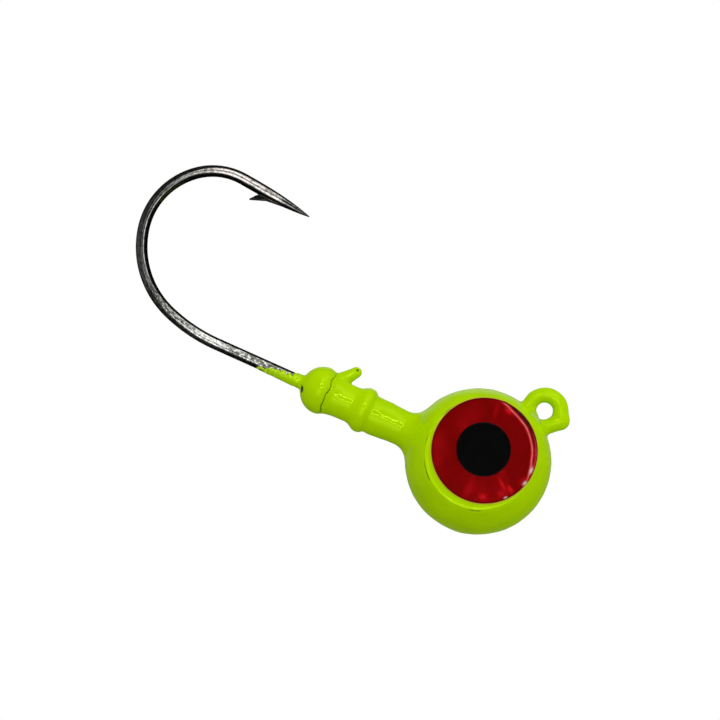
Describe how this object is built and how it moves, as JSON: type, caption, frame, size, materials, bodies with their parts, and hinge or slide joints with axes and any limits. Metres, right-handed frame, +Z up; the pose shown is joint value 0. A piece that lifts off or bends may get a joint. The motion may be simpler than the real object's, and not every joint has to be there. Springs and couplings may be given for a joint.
{
  "type": "jig head",
  "caption": "Round painted lead jig head with flat sticker eyes and a keeper collar, cast on a bent steel jig hook with a line-tie eyelet.",
  "frame": {"origin": "centre of the line-tie eyelet's hole, in the hook's own plane", "axes": "+X forward along the shank, from the hook's bend to the head; +Z up, the way the hook point stands off the shank; +Y to the left, across the hook's plane"},
  "size_m": [0.0579, 0.0122, 0.0291],
  "materials": {
    "hook_wire": "black nickel plate, bright",
    "cast_lead": "dull grey cast lead",
    "powder_paint": "glossy chartreuse powder paint",
    "adhesive": "thin pressure-sensitive adhesive",
    "iris_foil": "deep red holographic foil",
    "pupil_ink": "solid black printed ink",
    "clear_film": "clear glossy plastic laminate"
  },
  "bodies": {
    "root": {"hook": "hook_wire", "lead_head": "cast_lead", "paint_coat": "powder_paint", "eye_adhesive_left": "adhesive", "iris_foil_left": "iris_foil", "pupil_ink_left": "pupil_ink", "clear_film_left": "clear_film", "eye_adhesive_right": "adhesive", "iris_foil_right": "iris_foil", "pupil_ink_right": "pupil_ink", "clear_film_right": "clear_film"}
  },
  "joints": []
}
